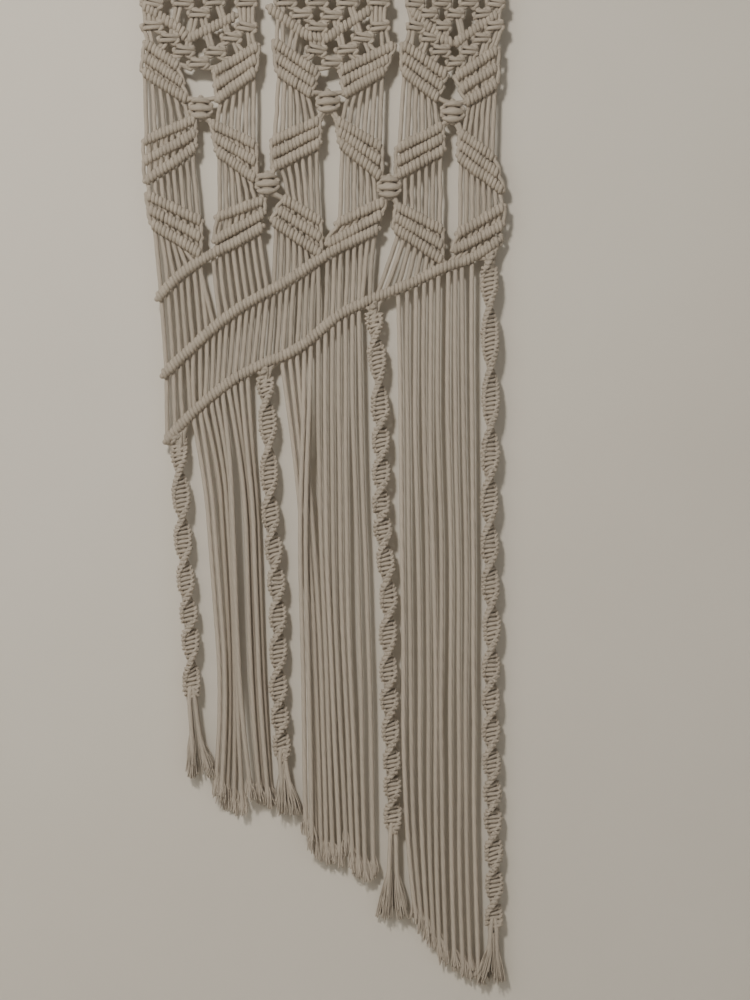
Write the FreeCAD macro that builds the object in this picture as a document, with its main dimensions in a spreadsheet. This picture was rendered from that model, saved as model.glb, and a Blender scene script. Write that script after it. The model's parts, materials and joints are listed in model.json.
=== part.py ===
import FreeCAD, Part
import Sketcher

import math
import os

# A knotted cotton wall hanging: 24 folded cords on a wooden dowel, worked down in three panels of 16 cord
# ends. Origin: the middle of the dowel, on its axis. +X to the viewer's right, +Y to the wall, +Z up.

Vector = FreeCAD.Vector
doc = FreeCAD.newDocument("knotted_wall_hanging")

# ------------------------------------------------------------------ driving dimensions, millimetres
DIMENSIONS = (
    ("dowel_diameter", 18.0),
    ("dowel_length", 400.0),
    ("notch_depth", 1.0),
    ("notch_width", 3.0),
    ("notch_inset", 22.0),
    ("notch_mouth", 2.0),
    ("dowel_chamfer", 1.0),
    ("cord_diameter", 4.0),
    ("bar_diameter", 8.5),
    ("running_gap", 0.3),
    ("bight_length", 10.0),
    ("bight_drop", 4.0),
    ("sennit_cord_pitch", 6.6),
    ("knot_width", 18.0),
    ("knot_height", 9.0),
    ("knot_depth", 7.0),
    ("net_top", 25.0),
    ("net_row_pitch", 10.2),
    ("net_clearance", 13.0),
    ("berry_width", 21.0),
    ("berry_height", 18.0),
    ("berry_depth", 14.0),
    ("sennit_diameter", 14.0),
    ("neck_diameter", 8.0),
    ("neck_length", 10.0),
    ("tail_offset", 2.6),
    ("tail_spread", 3.9),
    ("tail_curve", 1.5),
    ("textile_setback", 2.0),
    ("layer_step", 6.0),
    ("fringe_drop", 8.1),
    ("hang_bow", 1.2),
)

sheet = doc.addObject("Spreadsheet::Sheet", "dimensions")
for row, (alias, value) in enumerate(DIMENSIONS, start=1):
    sheet.set(f"A{row}", alias)
    sheet.set(f"B{row}", str(value))
    sheet.setAlias(f"B{row}", alias)
doc.recompute()


def size(alias):
    """One driving dimension, read from the sheet."""
    return float(getattr(sheet, alias))


# ------------------------------------------------------------------ layout, millimetres
# The left edge of each panel at the dowel, and the distance between its cord ends there.
PANELS = {"left": (-157.0, 6.6), "middle": (-44.0, 6.6), "right": (68.0, 5.65)}
ENDS_PER_PANEL = 16
HALF = ENDS_PER_PANEL // 2

# Each arm of a row: its first bar and its last, from the outer end to the inner end, as (x, z).
CHEVRON_ARMS = {
    ("left", "left"): ((-152.0, -68.0), (-120.5, -89.0)),
    ("left", "right"): ((-74.0, -77.5), (-114.0, -97.0)),
    ("middle", "left"): ((-45.0, -70.5), (-13.0, -93.5)),
    ("middle", "right"): ((41.0, -72.0), (2.5, -97.0)),
    ("right", "left"): ((76.5, -73.0), (102.0, -97.0)),
    ("right", "right"): ((149.0, -75.5), (113.0, -100.5)),
}
ROW_A_ARMS = {
    ("left", "left"): ((-149.5, -100.5), (-122.5, -120.0), (-152.0, -124.0), (-115.0, -148.0)),
    ("left", "right"): ((-55.0, -103.0), (-91.0, -124.0), (-57.0, -124.0), (-89.0, -148.0)),
    ("middle", "left"): ((-40.0, -99.5), (-4.0, -126.0), (-37.5, -124.0), (-9.5, -143.0)),
    ("middle", "right"): ((60.5, -103.0), (16.0, -124.0), (52.5, -124.0), (19.5, -143.0)),
    ("right", "left"): ((69.0, -102.0), (105.5, -127.5), (69.0, -123.0), (98.5, -147.0)),
    ("right", "right"): ((149.0, -106.0), (114.0, -129.0), (148.0, -134.5), (122.5, -150.5)),
}
ROW_B_ARMS = {
    ("left", "left"): ((-150.5, -183.5), (-108.0, -165.0), (-149.5, -217.0), (-108.0, -188.5)),
    ("left", "right"): ((-57.0, -187.0), (-93.5, -169.0), (-57.0, -215.0), (-89.0, -192.0)),
    ("middle", "left"): ((-41.5, -183.0), (-2.5, -166.0), (-41.0, -205.5), (-2.5, -185.5)),
    ("middle", "right"): ((50.0, -188.5), (13.0, -166.5), (49.5, -213.5), (15.5, -184.5)),
    ("right", "left"): ((64.5, -189.5), (102.0, -171.0), (64.0, -212.5), (103.0, -191.0)),
    ("right", "right"): ((145.5, -197.0), (117.5, -177.0), (153.0, -225.0), (116.5, -196.5)),
}
ROW_C_ARMS = {
    ("left", "left"): ((-148.0, -229.5), (-103.0, -251.5), (-144.5, -253.5), (-103.5, -279.5)),
    ("left", "right"): ((-50.0, -234.0), (-89.0, -248.0), (-50.0, -245.0), (-91.0, -268.0)),
    ("middle", "left"): ((-32.5, -233.0), (-1.5, -251.5), (-41.5, -251.5), (-1.0, -279.5)),
    ("middle", "right"): ((52.5, -235.5), (13.0, -253.5), (50.0, -246.5), (5.0, -270.5)),
    ("right", "left"): ((64.0, -239.5), (102.0, -259.0), (62.0, -257.5), (102.0, -285.0)),
    ("right", "right"): ((154.0, -239.5), (115.5, -262.0), (153.0, -255.0), (112.0, -276.0)),
}
BARS_PER_ARM = 3
NET_ROWS = 9
# Where a diagonal bar runs on from an arm of row C, it takes the place of that arm's third bar.
SHORT_ROW_C_ARMS = (("left", "right"), ("middle", "right"), ("right", "right"))
BERRIES = ((-103.0, -156.0), (5.0, -150.5), (111.0, -159.0), (-46.5, -220.0), (57.0, -223.0))

# The three long diagonal bars, from the upper right end down to the left edge, as (x, z).
DIAGONALS = (
    ((-51.0, -256.5), (-68.0, -267.0), (-89.0, -277.0), (-107.0, -287.5), (-124.0, -299.0),
     (-139.5, -317.0)),
    ((47.5, -258.5), (25.5, -268.5), (3.5, -279.5), (-30.5, -303.5), (-57.0, -317.0),
     (-81.5, -332.5), (-110.5, -358.5), (-135.0, -382.5)),
    ((149.5, -268.5), (129.0, -283.0), (114.0, -287.5), (98.5, -292.5), (75.0, -305.0),
     (41.0, -318.0), (12.0, -331.5), (-18.5, -360.5), (-57.0, -375.5), (-81.5, -389.5),
     (-110.5, -414.0), (-132.5, -438.5)),
)

# Each loose cord: the height of its cut end, the layer it hangs in (0 in the middle, 1 nearer the wall, -1 in
# front), and its x at equal steps of height from the lowest bar down to the cut end.
FRINGE = {
    "left": (
        (-739.5, 0, (-108.5, -98.5, -94.5, -90.5, -86.5, -87.0, -91.0)),
        (-744.6, 0, (-103.0, -94.0, -90.0, -85.5, -82.0, -82.5, -86.0)),
        (-750.5, 1, (-99.0, -88.0, -85.0, -82.0, -79.5, -78.5, -79.5, -81.5)),
        (-754.8, 1, (-93.5, -83.5, -80.0, -77.0, -75.0, -74.0, -74.5, -75.0)),
        (-754.8, 0, (-89.0, -79.0, -76.5, -75.0, -73.0, -71.5, -70.0, -67.0)),
        (-741.2, -1, (-84.0, -77.5, -75.5, -73.5, -72.0, -69.5, -65.5, -59.5)),
        (-743.8, 0, (-79.0, -70.5, -65.0, -63.5, -62.0, -60.0, -57.0, -52.5)),
        (-747.1, 1, (-74.0, -67.0, -61.5, -60.0, -59.0, -56.5, -53.0, -49.5)),
        (-750.5, 0, (-68.5, -64.0, -58.5, -57.0, -55.0, -53.0, -49.5, -45.0)),
        (-746.3, 1, (-63.0, -60.0, -55.5, -53.5, -52.0, -50.0, -47.0, -43.5)),
    ),
    "middle": (
        (-790.5, 0, (-33.5, -26.0, -20.0, -15.5, -12.5, -10.0, -8.5, -6.5, -5.0)),
        (-794.8, 0, (-27.0, -21.0, -15.0, -11.0, -7.5, -5.5, -3.5, -2.0, -0.5)),
        (-796.4, 0, (-21.0, -16.5, -10.5, -6.5, -3.0, -0.5, 1.0, 3.0, 4.0)),
        (-771.8, -1, (-15.0, -15.3, -17.5, -18.5, -17.5, -16.0, -15.0, -14.5, -13.5)),
        (-782.9, -1, (-9.5, -10.8, -13.0, -13.8, -13.0, -11.5, -10.0, -9.0, -8.5)),
        (-795.6, 0, (-3.0, -3.5, -2.0, -1.0, 1.5, 4.0, 5.5, 7.5, 9.5)),
        (-798.1, 0, (3.0, 2.5, 3.0, 3.5, 4.5, 7.0, 9.0, 11.0, 13.5, 15.5)),
        (-788.8, 0, (9.0, 8.5, 9.0, 9.5, 10.5, 13.0, 15.5, 18.5, 21.0)),
        (-804.1, 0, (14.5, 14.0, 15.0, 15.5, 16.0, 17.5, 20.0, 22.5, 24.0, 26.5)),
        (-808.4, 0, (20.0, 20.5, 20.0, 21.0, 21.5, 22.5, 25.0, 27.5, 29.5, 31.5)),
        (-812.6, 0, (26.0, 25.5, 27.0, 29.0, 30.5, 31.5, 33.5, 34.0, 35.5, 37.0)),
        (-807.5, 0, (31.5, 32.5, 33.5, 35.0, 37.5, 39.0, 41.0, 42.0, 43.0, 44.0)),
    ),
    "right": (
        (-846.6, 0, (65.0, 66.5, 67.0, 67.5, 68.0, 69.0, 69.5, 69.0, 71.0, 74.0, 80.0)),
        (-854.2, 0, (72.5, 72.0, 73.0, 73.5, 74.0, 75.0, 75.5, 76.0, 77.0, 80.0, 85.3)),
        (-861.9, 0, (80.0, 79.5, 79.0, 80.5, 82.0, 83.0, 83.5, 83.0, 84.0, 86.5, 90.3)),
        (-869.5, 0,
         (87.0, 86.0, 86.5, 87.5, 89.5, 90.0, 90.5, 91.0, 90.5, 91.0, 92.5, 95.5)),
        (-878.0, 0,
         (93.0, 92.5, 92.0, 92.5, 94.0, 95.5, 96.5, 97.0, 96.5, 97.0, 98.0, 100.5)),
        (-883.1, 0,
         (99.0, 98.5, 98.0, 99.5, 101.5, 102.0, 101.5, 101.0, 102.0, 102.5, 104.0, 106.0)),
        (-888.2, 0,
         (107.5, 107.0, 106.5, 108.0, 109.5, 110.0, 109.5, 109.0, 109.5, 110.0, 111.0, 113.0)),
        (-892.5, 0,
         (113.5, 113.0, 113.5, 114.0, 115.5, 116.5, 116.0, 116.5, 117.0, 116.5, 118.0, 120.0)),
        (-895.0, 0,
         (119.0, 119.5, 120.0, 121.0, 122.5, 123.0, 122.5, 122.0, 122.5, 123.0, 124.5, 126.5)),
        (-898.4, 0,
         (127.5, 127.0, 127.5, 128.0, 128.5, 129.0, 128.5, 129.5, 129.0, 130.0, 131.5, 133.5)),
    ),
}

# Each half-knot sennit: the points that its centre passes, as (x, z), the first where its four cords leave
# the lowest bar and the last at its lowest knot, and then the x and z that the middle of its ends hangs to.
SENNITS = (
    (((-121.5, -440.5), (-121.5, -463.0), (-119.5, -485.0), (-118.0, -523.0), (-116.0, -557.0),
      (-113.0, -584.0), (-111.5, -612.0), (-110.5, -657.0)), (-103.5, -721.5)),
    (((-48.5, -382.0), (-47.5, -403.0), (-45.5, -430.0), (-45.0, -466.5), (-44.0, -500.0),
      (-41.0, -529.5), (-38.5, -559.5), (-37.5, -587.5), (-37.0, -615.0), (-37.5, -644.5),
      (-36.0, -669.0), (-33.5, -710.0)), (-27.5, -753.0)),
    (((44.0, -327.0), (45.0, -348.0), (47.5, -374.0), (49.5, -408.0), (50.0, -438.5),
      (50.5, -465.0), (50.0, -489.5), (51.5, -514.0), (54.5, -544.0), (57.0, -572.0),
      (56.0, -604.5), (56.5, -635.0), (57.5, -670.0), (59.0, -705.0), (60.0, -740.0),
      (60.5, -773.5)), (60.0, -841.5)),
    (((142.5, -284.0), (142.0, -307.0), (143.0, -348.5), (143.5, -399.5), (143.0, -450.5),
      (142.0, -489.0), (142.5, -527.0), (143.0, -561.0), (144.5, -596.0), (143.5, -635.0),
      (143.5, -684.0), (144.5, -727.0), (145.5, -770.0), (146.5, -816.0), (146.0, -853.5)),
     (144.5, -896.0)),
)
CORDS_PER_SENNIT = 4

# How much of a straight run each arc beside it takes.
ARC_SHARE = 0.45


# ------------------------------------------------------------------ helpers
def between(first, last, share):
    """The point a share of the way from one (x, z) point to another."""
    return tuple(a + (b - a) * share for a, b in zip(first, last))


def run_at(route, x):
    """The straight run of a bar's route that passes above or below x, from its left end to its right."""
    points = sorted(route)
    for start, end in zip(points, points[1:]):
        if x <= end[0]:
            return start, end
    return points[-2], points[-1]


def height_on(route, x):
    """The z of a bar's centre line above or below a given x."""
    (xa, za), (xb, zb) = run_at(route, x)
    return za + (zb - za) * (x - xa) / (xb - xa)


def steepness(route, x):
    """How much further below a bar a point must be than its distance square to the bar."""
    (xa, za), (xb, zb) = run_at(route, x)
    return math.hypot(xb - xa, zb - za) / (xb - xa)


def aside(route, x):
    """How far x lies to one side of a bar's ends."""
    low, high = min(route)[0], max(route)[0]
    return max(low - x, x - high, 0.0)


def clamped_height(route, x):
    """The z of a bar's centre line at x, or at its nearer end."""
    return height_on(route, min(max(x, min(route)[0]), max(route)[0]))


def textile_point(x, z, forward=0.0):
    """A point of the textile's middle plane, which hangs just in front of the dowel's axis."""
    return Vector(x, -size("textile_setback") - forward, z)


def rounded_route(points):
    """Straight runs joined by tangent arcs, as one wire, its length, and the arcs' radii."""
    edges, radii, start = [], [], points[0]
    for before, corner, after in zip(points, points[1:], points[2:]):
        run_in, run_out = corner - before, after - corner
        turn = run_in.getAngle(run_out)
        cut = ARC_SHARE * min(run_in.Length, run_out.Length)
        radius = cut / math.tan(turn / 2)
        to_before = (before - corner).normalize()
        to_after = (after - corner).normalize()
        arc_start, arc_end = corner + to_before * cut, corner + to_after * cut
        inward = (to_before + to_after).normalize()
        arc_middle = corner + inward * (math.hypot(radius, cut) - radius)
        edges.append(Part.LineSegment(start, arc_start).toShape())
        edges.append(Part.Arc(arc_start, arc_middle, arc_end).toShape())
        radii.append(radius)
        start = arc_end
    edges.append(Part.LineSegment(start, points[-1]).toShape())
    wire = Part.Wire(edges)
    return wire, wire.Length, radii


def tube(points, radius, name):
    """A round tube along a rounded route. Its volume is compared with section times length."""
    wire, length, radii = rounded_route(points)
    section = Part.Wire(Part.makeCircle(radius, points[0], points[1] - points[0]))
    solid = wire.makePipeShell([section], True, False)
    wanted = math.pi * radius ** 2 * length
    if abs(solid.Volume - wanted) > 0.01 * wanted:
        raise ValueError(f"{name}: volume {solid.Volume:.0f}, section times length {wanted:.0f}")
    return solid, length, min(radii, default=math.inf)


def domed(solid, top, radius):
    """A tube with a half ball on its upper end, so that it can turn about that end in place."""
    return solid.fuse(Part.makeSphere(radius, top, Vector(0, 0, 1), 0, 90, 360))


def feature(label, shape):
    """A sub-part whose shape is worked out here from the sheet's sizes."""
    made = doc.addObject("Part::Feature", label)
    made.Shape = shape
    made.Label = label
    return made


def compound(label, objects):
    """A sub-part that is a group of the document's own objects."""
    group = doc.addObject("Part::Compound", label)
    group.Links = objects
    group.Label = label
    return group


def bar(name, start, end):
    """One straight double-half-hitch bar between two (x, z) points."""
    begin, finish = textile_point(*start), textile_point(*end)
    made = doc.addObject("Part::Cylinder", name)
    made.setExpression("Radius", "dimensions.bar_diameter / 2")
    made.Height = (finish - begin).Length
    made.Placement = FreeCAD.Placement(begin, FreeCAD.Rotation(Vector(0, 0, 1), finish - begin))
    return made


def ellipsoid(name, width, height, depth):
    """A rounded knot, its three sizes bound to the sheet."""
    made = doc.addObject("Part::Ellipsoid", name)
    made.setExpression("Radius1", f"dimensions.{height} / 2")
    made.setExpression("Radius2", f"dimensions.{width} / 2")
    made.setExpression("Radius3", f"dimensions.{depth} / 2")
    return made


def copies(label, master, places):
    """A sub-part made of one master shape at several places."""
    return feature(label, Part.makeCompound([master.Shape.translated(p) for p in places]))


def origin_plane(body, role):
    """One of a body's own origin planes."""
    return next(f for f in body.Origin.OriginFeatures if f.Role == role)


def flat_sketch(body, name, role):
    """A sketch on one of a body's own origin planes."""
    sketch = body.newObject("Sketcher::SketchObject", name)
    sketch.AttachmentSupport = [(origin_plane(body, role), "")]
    sketch.MapMode = "FlatFace"
    return sketch


# ------------------------------------------------------------------ dowel
def make_dowel():
    """A plain dowel with a shallow notch near each end for the cord or hook that holds it."""
    body = doc.addObject("PartDesign::Body", "dowel")
    body.Label = "dowel"
    outline = flat_sketch(body, "dowel_outline", "YZ_Plane")
    radius = size("dowel_diameter") / 2
    circle = outline.addGeometry(Part.Circle(Vector(0, 0, 0), Vector(0, 0, 1), radius), False)
    outline.addConstraint(Sketcher.Constraint("Coincident", circle, 3, -1, 1))
    diameter = outline.addConstraint(Sketcher.Constraint("Diameter", circle, 2 * radius))
    outline.setExpression(f"Constraints[{diameter}]", "dimensions.dowel_diameter")
    rod = body.newObject("PartDesign::Pad", "rod")
    rod.Profile = outline
    rod.SideType = "Symmetric"
    rod.setExpression("Length", "dimensions.dowel_length")
    doc.recompute()
    rims = [
        f"Edge{i}" for i, edge in enumerate(rod.Shape.Edges, start=1)
        if edge.Curve.TypeId == "Part::GeomCircle"
    ]
    chamfer = body.newObject("PartDesign::Chamfer", "end_chamfers")
    chamfer.Base = (rod, rims)
    chamfer.setExpression("Size", "dimensions.dowel_chamfer")
    doc.recompute()
    for side in (-1, 1):
        name = "left_notch" if side < 0 else "right_notch"
        notch_sketch = flat_sketch(body, f"{name}_profile", "XZ_Plane")
        middle = side * (size("dowel_length") / 2 - size("notch_inset"))
        half = size("notch_width") / 2
        low, high = radius - size("notch_depth"), radius + size("notch_mouth")
        corners = [(middle - half, low), (middle + half, low), (middle + half, high), (middle - half, high)]
        for (xa, ya), (xb, yb) in zip(corners, corners[1:] + corners[:1]):
            notch_sketch.addGeometry(Part.LineSegment(Vector(xa, ya, 0), Vector(xb, yb, 0)), False)
        for line in range(4):
            notch_sketch.addConstraint(Sketcher.Constraint("Coincident", line, 2, (line + 1) % 4, 1))
        for line, kind in enumerate(("Horizontal", "Vertical", "Horizontal", "Vertical")):
            notch_sketch.addConstraint(Sketcher.Constraint(kind, line))
        width = notch_sketch.addConstraint(Sketcher.Constraint("DistanceX", 0, 1, 0, 2, 2 * half))
        notch_sketch.setExpression(f"Constraints[{width}]", "dimensions.notch_width")
        floor = notch_sketch.addConstraint(Sketcher.Constraint("DistanceY", -1, 1, 0, 1, low))
        notch_sketch.setExpression(
            f"Constraints[{floor}]", "dimensions.dowel_diameter / 2 - dimensions.notch_depth")
        reach = notch_sketch.addConstraint(Sketcher.Constraint("DistanceY", 0, 2, 1, 2, high - low))
        notch_sketch.setExpression(
            f"Constraints[{reach}]", "dimensions.notch_depth + dimensions.notch_mouth")
        ends = (0, 2, -1, 1) if side < 0 else (-1, 1, 0, 1)
        inset = notch_sketch.addConstraint(Sketcher.Constraint("DistanceX", *ends, abs(middle) - half))
        notch_sketch.setExpression(
            f"Constraints[{inset}]",
            "dimensions.dowel_length / 2 - dimensions.notch_inset - dimensions.notch_width / 2")
        doc.recompute()
        volume_before = body.Shape.Volume
        notch = body.newObject("PartDesign::Groove", name)
        notch.Profile = notch_sketch
        notch.ReferenceAxis = (notch_sketch, ["H_Axis"])
        notch.Angle = 360.0
        doc.recompute()
        if body.Shape.Volume > volume_before - 1:
            raise ValueError(f"{name} cuts nothing")
    return body


# ------------------------------------------------------------------ knots
def head_places():
    """The middle of each lark's head along the dowel."""
    for left_edge, pitch in PANELS.values():
        for pair in range(HALF):
            yield left_edge + (2 * pair + 1) * pitch


def make_larks_heads():
    """24 lark's heads: two loops round the dowel and the bight that holds them across the front."""
    ring_radius = "dimensions.dowel_diameter / 2 + dimensions.running_gap + dimensions.cord_diameter / 2"
    loops = []
    for side in (-1, 1):
        loop = doc.addObject("Part::Torus", "left_loop" if side < 0 else "right_loop")
        loop.setExpression("Radius1", ring_radius)
        loop.setExpression("Radius2", "dimensions.cord_diameter / 2")
        loop.Placement = FreeCAD.Placement(
            Vector(side * (size("cord_diameter") / 2 + size("running_gap")), 0, 0),
            FreeCAD.Rotation(Vector(0, 1, 0), 90))
        loops.append(loop)
    bight = doc.addObject("Part::Cylinder", "bight")
    bight.setExpression("Radius", "dimensions.cord_diameter / 2")
    bight.setExpression("Height", "dimensions.bight_length")
    front = size("dowel_diameter") / 2 + size("running_gap") + size("cord_diameter")
    bight.Placement = FreeCAD.Placement(
        Vector(-size("bight_length") / 2, -front, -size("bight_drop")),
        FreeCAD.Rotation(Vector(0, 1, 0), 90))
    head = doc.addObject("Part::MultiFuse", "larks_head")
    head.Shapes = loops + [bight]
    doc.recompute()
    return copies("larks_heads", head, [Vector(x, 0, 0) for x in head_places()])


def row_of_arms(label, arms, panel, bars):
    """Both arms of one panel in one row, bars evenly spaced between the first and the last."""
    made = []
    for (owner, side), points in arms.items():
        if owner != panel:
            continue
        count = bars
        if arms is ROW_C_ARMS and (owner, side) in SHORT_ROW_C_ARMS:
            count = bars - 1
        for number in range(count):
            share = number / (count - 1) if count > 1 else 0.0
            last = points[2:] if count > 1 else points[:2]
            start, end = (between(points[k], last[k], share) for k in (0, 1))
            made.append(bar(f"{label}_{side}_{number + 1}", start, end))
    return compound(label, made)


def make_net(panel, knot):
    """Alternating square knots, wherever one clears the bars of the chevron and of row A."""
    left_edge, pitch = PANELS[panel]
    column = 4 * pitch
    room = size("net_clearance")
    arms = {
        kind: [points[:2] for (owner, _), points in table.items() if owner == panel]
        for kind, table in (("chevron", CHEVRON_ARMS), ("floor", ROW_A_ARMS))
    }
    places = []
    for row in range(NET_ROWS):
        z = -size("net_top") - row * size("net_row_pitch")
        for place in range(ENDS_PER_PANEL // 4 - row % 2):
            x = left_edge + (place + 0.5 + 0.5 * (row % 2)) * column
            nearest = min(arms["floor"], key=lambda line: aside(line, x))
            near = [line for line in arms["chevron"] if aside(line, x) < column / 2]
            clear = all(abs(z - clamped_height(line, x)) > room for line in near)
            if clear and z > clamped_height(nearest, x) + room:
                places.append(textile_point(x, z))
    return copies(f"net_{panel}", knot, places)


# ------------------------------------------------------------------ cords
def fringe_route(end, layer, across):
    """A loose cord's points: from under the lowest bar, into its layer, bowed a little off the wall."""
    steps = len(across) - 1
    lowest, x = DIAGONALS[-1], across[0]
    top = height_on(lowest, x) - size("fringe_drop") * steepness(lowest, x)
    route = [textile_point(across[0], top)]
    for step, x in enumerate(across[1:], start=1):
        share = step / steps
        forward = size("hang_bow") * math.sin(math.pi * share) - layer * size("layer_step")
        route.append(textile_point(x, top + (end - top) * share, forward))
    return route


def make_fringe():
    """Every loose cord, each a sub-part of its own."""
    radius = size("cord_diameter") / 2
    made = []
    for group, cords in FRINGE.items():
        for number, cord in enumerate(cords, start=1):
            name = f"fringe_{group}_{number:02d}"
            route = fringe_route(*cord)
            solid, length, tightest = tube(route, radius, name)
            print(f"{name}: {length:.0f} mm long, tightest radius {tightest:.0f} mm")
            made.append(feature(name, domed(solid, route[0], radius)))
    return made


def make_sennits():
    """Each sennit: a neck of four gathered cords, the knotted length, and the four loose ends."""
    made = []
    for number, (route, tail) in enumerate(SENNITS, start=1):
        name = f"sennit_{number}"
        neck, knotted = size("neck_diameter") / 2, size("sennit_diameter") / 2
        top = textile_point(*route[0])
        start = between(route[0], route[1], size("neck_length") / (route[0][1] - route[1][1]))
        points = [textile_point(*start)] + [
            textile_point(x, z, size("hang_bow") * math.sin(math.pi * k / len(route)))
            for k, (x, z) in enumerate(route[1:], start=1)
        ]
        body, length, tightest = tube(points, knotted, name)
        print(f"{name}: {length:.0f} mm knotted, tightest radius {tightest:.0f} mm")
        gathered = Part.makeCylinder(neck, (points[0] - top).Length, top, points[0] - top)
        knotted_part = domed(gathered, top, neck).fuse(body)
        solids = [knotted_part]
        foot = points[-1]
        reach = textile_point(*tail) - foot
        offset, curve = size("tail_offset"), size("tail_curve")
        for x_side in (-1, 1):
            for y_side in (-1, 1):
                leaves = foot + Vector(x_side * offset, y_side * offset, 0)
                ends = leaves + reach + Vector(x_side * size("tail_spread"), 0, 0)
                middle = (leaves + ends) / 2 - Vector(x_side * curve, 0, 0)
                solids.append(tube([leaves, middle, ends], size("cord_diameter") / 2, f"{name} end")[0])
        made.append(feature(name, Part.makeCompound(solids)))
    return made


def ends_on_lowest_bar():
    """The x of all 48 cord ends where they cross the lowest bar, from the left."""
    loose = {group: [across[0] for _, _, across in cords] for group, cords in FRINGE.items()}
    places = []
    for number, group in enumerate(("left", "middle", "right", None)):
        middle = SENNITS[number][0][0][0]
        outermost = middle - (CORDS_PER_SENNIT - 1) / 2 * size("sennit_cord_pitch")
        places += [outermost + k * size("sennit_cord_pitch") for k in range(CORDS_PER_SENNIT)]
        places += loose.get(group, [])
    return places


def make_working_cords(panel, lowest):
    """The 16 cord ends of one panel, from the dowel through its knots to the lowest bar."""
    left_edge, pitch = PANELS[panel]
    first = list(PANELS).index(panel) * ENDS_PER_PANEL
    solids = []
    for number in range(ENDS_PER_PANEL):
        side = "left" if number < HALF else "right"
        outward = number if side == "left" else ENDS_PER_PANEL - 1 - number
        share = (outward + 0.5) / HALF
        top = -size("dowel_diameter") / 2 - size("running_gap") - size("cord_diameter") / 2
        points = [(left_edge + (number + 0.5) * pitch, top)]
        for arms in (ROW_A_ARMS, ROW_B_ARMS, ROW_C_ARMS):
            start_first, end_first, start_last, end_last = arms[(panel, side)]
            points.append(between(
                between(start_first, start_last, 0.5), between(end_first, end_last, 0.5), share))
        index = first + number
        for crossed, route in enumerate(DIAGONALS, start=1):
            crossing_ends = crossed * ENDS_PER_PANEL
            if index >= crossing_ends:
                continue
            x_low, x_high = min(route)[0], max(route)[0]
            x = x_low + (x_high - x_low) * (index + 0.5) / crossing_ends
            if crossed == len(DIAGONALS):
                x = lowest[index]
            z = height_on(route, x)
            if z > points[-1][1] - size("bar_diameter"):
                continue
            points.append((x, z))
        path = [textile_point(*p) for p in points]
        solids.append(tube(path, size("cord_diameter") / 2, f"working cord {index + 1}")[0])
    return feature(f"working_cords_{panel}", Part.makeCompound(solids))


# ------------------------------------------------------------------ the whole hanging
subparts = [make_dowel(), make_larks_heads()]

net_knot = ellipsoid("net_knot", "knot_width", "knot_height", "knot_depth")
berry_knot = ellipsoid("berry_knot", "berry_width", "berry_height", "berry_depth")
doc.recompute()

end_places = ends_on_lowest_bar()
for panel in PANELS:
    subparts.append(make_net(panel, net_knot))
    subparts.append(row_of_arms(f"chevron_{panel}", CHEVRON_ARMS, panel, 1))
    subparts.append(row_of_arms(f"row_a_{panel}", ROW_A_ARMS, panel, BARS_PER_ARM))
    subparts.append(row_of_arms(f"row_b_{panel}", ROW_B_ARMS, panel, BARS_PER_ARM))
    subparts.append(row_of_arms(f"row_c_{panel}", ROW_C_ARMS, panel, BARS_PER_ARM))
    subparts.append(make_working_cords(panel, end_places))
subparts.append(copies("berry_knots", berry_knot, [textile_point(*p) for p in BERRIES]))
for number, route in enumerate(DIAGONALS, start=1):
    solid, length, _ = tube(
        [textile_point(*p) for p in route], size("bar_diameter") / 2, f"diagonal bar {number}")
    subparts.append(feature(f"diagonal_bar_{number}", solid))
subparts += make_sennits()
subparts += make_fringe()
doc.recompute()

for made in doc.Objects:
    if "Invalid" in made.State or "Error" in made.State:
        raise ValueError(f"{made.Label} failed: {made.State}")
os.makedirs("parts", exist_ok=True)
for made in subparts:
    if made.Shape.isNull() or not made.Shape.isValid():
        raise ValueError(f"{made.Label} has no valid shape")
    made.Shape.exportStep(f"parts/{made.Label}.step")
print(f"{len(subparts)} sub-parts")
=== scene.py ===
import json
import math

import bpy
import numpy as np
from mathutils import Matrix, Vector

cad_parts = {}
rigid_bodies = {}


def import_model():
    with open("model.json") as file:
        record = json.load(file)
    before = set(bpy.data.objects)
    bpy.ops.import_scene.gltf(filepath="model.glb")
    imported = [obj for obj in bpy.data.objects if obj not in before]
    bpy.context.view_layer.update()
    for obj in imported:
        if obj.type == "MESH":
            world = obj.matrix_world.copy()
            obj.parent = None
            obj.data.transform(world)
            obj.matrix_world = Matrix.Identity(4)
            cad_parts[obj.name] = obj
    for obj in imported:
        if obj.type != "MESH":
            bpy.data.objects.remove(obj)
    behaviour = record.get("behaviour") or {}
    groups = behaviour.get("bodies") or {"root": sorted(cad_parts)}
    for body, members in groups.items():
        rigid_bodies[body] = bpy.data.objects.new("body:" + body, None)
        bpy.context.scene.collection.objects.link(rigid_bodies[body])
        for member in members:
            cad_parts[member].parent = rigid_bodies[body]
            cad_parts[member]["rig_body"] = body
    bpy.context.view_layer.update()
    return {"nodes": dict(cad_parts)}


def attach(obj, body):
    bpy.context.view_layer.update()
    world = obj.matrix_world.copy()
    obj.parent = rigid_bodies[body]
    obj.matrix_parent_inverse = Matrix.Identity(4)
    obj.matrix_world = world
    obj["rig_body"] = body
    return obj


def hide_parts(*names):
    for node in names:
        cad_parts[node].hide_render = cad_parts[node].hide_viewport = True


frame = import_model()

# The looks of a knotted cotton wall hanging. Lengths in the tables are millimetres, as in the CAD source, and
# become metres in place(). +X is to the viewer's right, +Y to the wall and +Z up; the dowel's middle is at 0.

scene = bpy.context.scene
for left_over in [o for o in scene.objects if "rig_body" not in o and not o.name.startswith("body:")]:
    bpy.data.objects.remove(left_over)
rng = np.random.default_rng(11)
MM = 0.001
FRONT = np.array((0.0, -1.0, 0.0))
SIDES = ("left", "right")
OUT = {"left": -1.0, "right": 1.0}

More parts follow.
